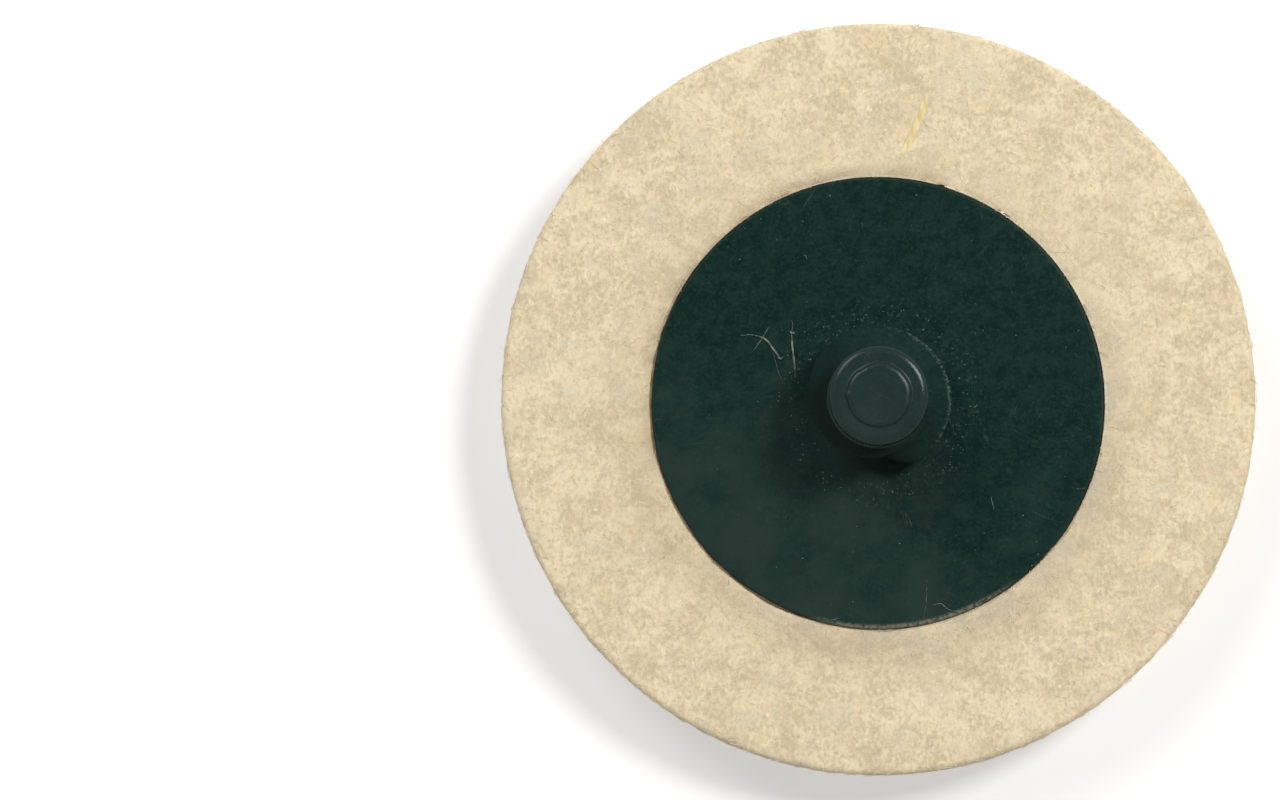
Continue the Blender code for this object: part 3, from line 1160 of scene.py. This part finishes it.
def lint_strands():
    """Pale hairs lying on the flange: brighter, thicker ones first, then faint ones."""
    thick = (
        ((-7.85, 4.42, 0.03), (-7.32, 4.12, 0.10), (-6.85, 3.50, 0.08), (-6.38, 2.90, 0.02)),
        ((-5.68, 4.65, 0.03), (-5.62, 3.75, 0.10), (-5.50, 2.70, 0.08), (-5.40, 1.65, 0.02)),
        ((-7.52, 4.28, 0.06), (-7.34, 4.12, 0.12), (-7.20, 3.96, 0.06)),
        ((-6.62, 3.02, 0.05), (-6.40, 2.92, 0.10), (-6.22, 3.02, 0.05)),
        ((-5.78, 4.72, 0.05), (-5.64, 4.60, 0.10), (-5.48, 4.66, 0.05)),
    )
    thin = (
        ((-9.10, 4.45, 0.02), (-8.40, 4.50, 0.05), (-7.80, 4.40, 0.02)),
        ((-7.20, 5.00, 0.02), (-7.60, 4.30, 0.06), (-8.25, 3.35, 0.02)),
        ((-5.66, 5.50, 0.02), (-5.60, 5.10, 0.05), (-5.68, 4.65, 0.02)),
        ((13.10, -5.66, 0.02), (13.40, -5.72, 0.06), (13.75, -5.62, 0.02)),
        ((-4.90, 9.85, 0.02), (-4.72, 9.70, 0.05), (-4.66, 9.50, 0.02)),
        ((3.58, -13.42, 0.02), (4.19, -13.30, 0.05), (4.64, -13.64, 0.05), (5.50, -13.95, 0.01)),
        ((-3.70, -14.2, 0.02), (-3.10, -14.4, 0.05), (-2.50, -14.25, 0.01)),
        ((7.50, -6.20, 0.01), (7.62, -6.70, 0.02), (7.70, -7.10, 0.01)),
    )
    faint = (
        ((3.30, -11.7, 0.01), (3.22, -13.2, 0.02), (3.02, -14.5, 0.01)),
        ((-6.90, 3.40, 0.01), (-6.60, 2.20, 0.02), (-6.20, 1.20, 0.01)),
    )
    hairs = []
    for group, width, height in ((thick, 0.12, 0.04), (thin, 0.042, 0.02), (faint, 0.024, 0.01)):
        hairs += [(lifted(hair, FLANGE_TOP), width * MM, height * MM) for hair in group]
    return hairs


def straw_strands():
    """Flat straws of vegetable matter caught in the wool, mostly pressed in."""
    straws = (
        ((3.35, 20.7, -0.02), (3.00, 19.5, 0.03), (2.4, 18.0, 0.03), (1.75, 16.4, -0.03)),
        ((2.60, 18.60, -0.03), (2.0, 17.4, 0.04), (1.50, 16.3, -0.02)),
    )
    strands = []
    for straw, width, height in zip(straws, (0.46, 0.30), (0.10, 0.08)):
        route = [(x, y, z + swell(hypot(x, y) * MM) / MM) for x, y, z in straw]
        strands.append((lifted(route, FELT_BACK), width * MM, height * MM))
    return strands


def powdery_material(name, cloud_size, low, high, dark, pale, roughness):
    """Pale lint or dust, clouded between two tones."""
    material, graph, place = new_material(name)
    clouds = graph.ramp(graph.noise(place, cloud_size, 3.0), low, high)
    return finish_material(
        material, {"Base Color": graph.mix(clouds, dark, pale), "Roughness": roughness + 0.3 * clouds}
    )


def straw_material():
    """Straw: golden, streaked along its length."""
    material, graph, place = new_material("golden_straw")
    streaks = graph.noise(graph.placed(place, (6, 0.8, 6), (0, 0, -0.38)), 1.0, 3.0, 0.6)
    colour = graph.mix(graph.ramp(streaks, 0.35, 0.7), (0.58, 0.45, 0.17, 1), (0.74, 0.63, 0.34, 1))
    return finish_material(
        material,
        {
            "Base Color": colour,
            "Roughness": 0.45 + 0.2 * streaks,
            "Normal": graph.bump(streaks, 0.02 * MM, 0.6),
        },
    )


def dust_tree():
    """Scatters low flakes of dust, thickest round the stud's foot."""
    inputs = {"Density": 4e5, "Size": DUST_SIZE, "Foot Radius": DUST_REACH, "Seed": 0, "Material": None}
    tree, graph, given = new_tree("scattered_dust", inputs)
    reach = graph.cylindrical(graph.add("GeometryNodeInputPosition"))[3]
    ringed = 1 - graph.ramp(abs(reach - given["Foot Radius"]), 0.2 * MM, 1.3 * MM)
    points = scattered_points(graph, given, given["Density"] * (0.18 + 6.0 * ringed))
    inputs = {"Radius": given["Size"] * 0.5, "Subdivisions": 1}
    flake = graph.add("GeometryNodeMeshIcoSphere", inputs)
    spin = random_vector(graph, (-0.4, -0.4, -pi), (0.4, 0.4, pi), given["Seed"])
    turn = graph.add("FunctionNodeEulerToRotation", {"Euler": spin})
    scale = random_vector(graph, (0.35, 0.35, 0.2), (1.6, 0.9, 0.5), given["Seed"] + 1)
    inputs = {"Points": points, "Instance": flake, "Rotation": turn, "Scale": scale}
    spread = graph.add("GeometryNodeInstanceOnPoints", inputs)
    loose = graph.add("GeometryNodeRealizeInstances", {"Geometry": spread})
    close_tree(graph, loose, given["Material"])
    return tree


class DISC_OT_lint(bpy.types.Operator):
    """Lay lint and dust on the hub, and straw in the felt"""

    bl_idname = "disc.lint"
    bl_label = "Lint, Straw and Dust"

    def execute(self, context):
        settings = context.scene.hub_settings
        lint = powdery_material("pale_lint", 1.8, 0.35, 0.72, LINT_DARK, LINT_PALE, 0.6)
        new_piece("lint_hairs", strands_mesh("lint_hairs", lint_strands()), lint)
        straw = strands_mesh("straw_flecks", straw_strands())
        new_piece("straw_flecks", straw, straw_material())
        dust = powdery_material("grey_dust", 1.4, 0.3, 0.7, DUST_DARK, DUST_PALE, 0.55)
        values = {
            "Density": settings.dust_density,
            "Size": DUST_SIZE,
            "Foot Radius": DUST_REACH,
            "Seed": settings.dust_seed,
            "Material": dust,
        }
        highest = FLANGE_TOP + 0.1 * MM
        hub = bpy.data.objects["threaded_hub_moulding"]
        top = zone_of(hub, lambda centre, normal: normal.z > 0.98 and centre.z < highest)
        new_piece("dust_flakes", grown(top, dust_tree(), values), dust)
        return {"FINISHED"}


# ---- the stage

# The felt disc's width as a share of the picture's, and how far right of the middle it sits.
DISC_SHARE = 0.5881
DISC_ASIDE = 0.1850
LEAN_BACK = radians(3.6)
LEAN_ASIDE = radians(0.75)
SENSOR = 36.0
FLOOR_RADIUS = 3.0
FLOOR_DROP = 0.02 * MM
FLOOR_SIDES = 64
LIGHT_DISTANCE = 0.6
KEY_SIZE = 0.16
FILL_SIZE = 0.25


def place_camera(settings):
    """A long lens nearly straight above the disc, turned so that the disc sits to the right."""
    camera = bpy.data.cameras.new("camera")
    camera.lens = settings.lens
    camera.sensor_width = SENSOR
    camera.clip_start = 0.01
    camera.clip_end = 20.0
    holder = new_object("camera", camera)
    centre = FELT_MIDDLE + Vector((0, 0, (FELT_FACE + FELT_BACK) / 2))
    distance = 2 * FELT_RADIUS / DISC_SHARE * settings.lens / SENSOR + FELT_BACK - centre.z
    away = Vector((-tan(LEAN_ASIDE), -tan(LEAN_BACK), 1)).normalized()
    right = Vector((0, 1, 0)).cross(away).normalized()
    upward = away.cross(right)
    look = Matrix((right, upward, away)).transposed()
    aside = atan(DISC_ASIDE * SENSOR / settings.lens)
    look = look @ Matrix.Rotation(aside, 3, "Y")
    holder.matrix_world = Matrix.Translation(centre + away * distance) @ look.to_4x4()
    bpy.context.scene.camera = holder


def add_light(name, azimuth, elevation, size, power, colour):
    """A round soft light that faces the disc."""
    lamp = bpy.data.lights.new(name, "AREA")
    lamp.shape = "DISK"
    lamp.size = size
    lamp.energy = power
    lamp.color = colour
    holder = new_object(name, lamp)
    level = cos(elevation)
    direction = Vector((cos(azimuth) * level, sin(azimuth) * level, sin(elevation)))
    holder.location = direction * LIGHT_DISTANCE
    holder.rotation_euler = direction.to_track_quat("Z", "Y").to_euler()


def floor_material():
    """A pale studio floor with the faintest unevenness, which fades into the backdrop."""
    material, graph, place = new_material("pale_floor")
    cloud = graph.noise(place, 0.01, 2.0)
    colour = graph.mix(cloud, (0.55, 0.55, 0.548, 1), (0.57, 0.57, 0.567, 1))
    far = graph.ramp(graph.cylindrical(place)[3], 120.0, 500.0)
    glow = graph.mix(far, (0.525, 0.525, 0.525, 1), (0.98, 0.98, 0.98, 1))
    return finish_material(
        material,
        {"Base Color": colour, "Emission Color": glow},
        {"Emission Strength": 0.8, "Roughness": 0.9},
    )


def light_surround(strength):
    """Light from all round, dimmer straight above, behind a white backdrop."""
    world = bpy.data.worlds.new("studio")
    world.use_nodes = True
    graph = Graph(world.node_tree)
    background = world.node_tree.nodes["Background"]
    direction = graph.add("ShaderNodeTexCoord", output="Generated")
    overhead = graph.ramp(graph.split(direction)[2], 0.70, 0.95)
    around = strength * (1 - 0.72 * overhead)
    seen = graph.add("ShaderNodeLightPath", output="Is Camera Ray")
    level = seen + (1 - seen) * around
    background.inputs["Color"].default_value = (1.0, 1.0, 1.0, 1)
    world.node_tree.links.new(level.socket, background.inputs["Strength"])
    bpy.context.scene.world = world


class DISC_OT_stage(bpy.types.Operator):
    """Set up the floor, the lights and the camera"""

    bl_idname = "disc.stage"
    bl_label = "Stage"

    def execute(self, context):
        settings = context.scene.stage_settings
        data = bpy.data.meshes.new("floor")
        rim = ring(FLOOR_RADIUS, FELT_FACE - FLOOR_DROP, FLOOR_SIDES)[:-1]
        data.from_pydata(rim, [], [list(range(len(rim)))])
        data.materials.append(floor_material())
        new_object("floor", data)
        warm, cool = (1.0, 0.985, 0.96), (0.97, 0.985, 1.0)
        add_light("key_light", radians(35), radians(56), KEY_SIZE, settings.key_power, warm)
        add_light("fill_light", radians(130), radians(48), FILL_SIZE, settings.fill_power, cool)
        light_surround(settings.surround)
        context.scene.view_settings.view_transform = "Standard"
        place_camera(settings)
        return {"FINISHED"}


# ---- the add-on


class DISC_PT_panel(bpy.types.Panel):
    """Lists the disc's pieces, in the order they are made"""

    bl_idname = "DISC_PT_panel"
    bl_label = "Polishing Disc"
    bl_space_type = "VIEW_3D"
    bl_region_type = "UI"
    bl_category = "Polishing Disc"

    def draw(self, context):
        layout = self.layout
        for operator in OPERATORS:
            layout.operator(operator.bl_idname)
        for name in SETTINGS:
            box = layout.box()
            group = getattr(context.scene, name)
            for key in group.bl_rna.properties.keys():
                if key not in {"rna_type", "name"}:
                    box.prop(group, key)


OPERATORS = (DISC_OT_felt, DISC_OT_fibres, DISC_OT_bond, DISC_OT_hub, DISC_OT_lint, DISC_OT_stage)
SETTINGS = {"felt_settings": FeltSettings, "hub_settings": HubSettings, "stage_settings": StageSettings}


def register():
    """Register the settings, the operators and the panel."""
    for name, group in SETTINGS.items():
        bpy.utils.register_class(group)
        setattr(bpy.types.Scene, name, PointerProperty(type=group))
    for operator in OPERATORS:
        bpy.utils.register_class(operator)
    bpy.utils.register_class(DISC_PT_panel)


def unregister():
    """Take them away again."""
    bpy.utils.unregister_class(DISC_PT_panel)
    for operator in reversed(OPERATORS):
        bpy.utils.unregister_class(operator)
    for name, group in reversed(SETTINGS.items()):
        delattr(bpy.types.Scene, name)
        bpy.utils.unregister_class(group)


def main():
    """Make every piece and the stage."""
    register()
    bpy.ops.disc.felt()
    bpy.ops.disc.fibres()
    bpy.ops.disc.bond()
    bpy.ops.disc.hub()
    bpy.ops.disc.lint()
    bpy.ops.disc.stage()


if __name__ == "__main__":
    main()
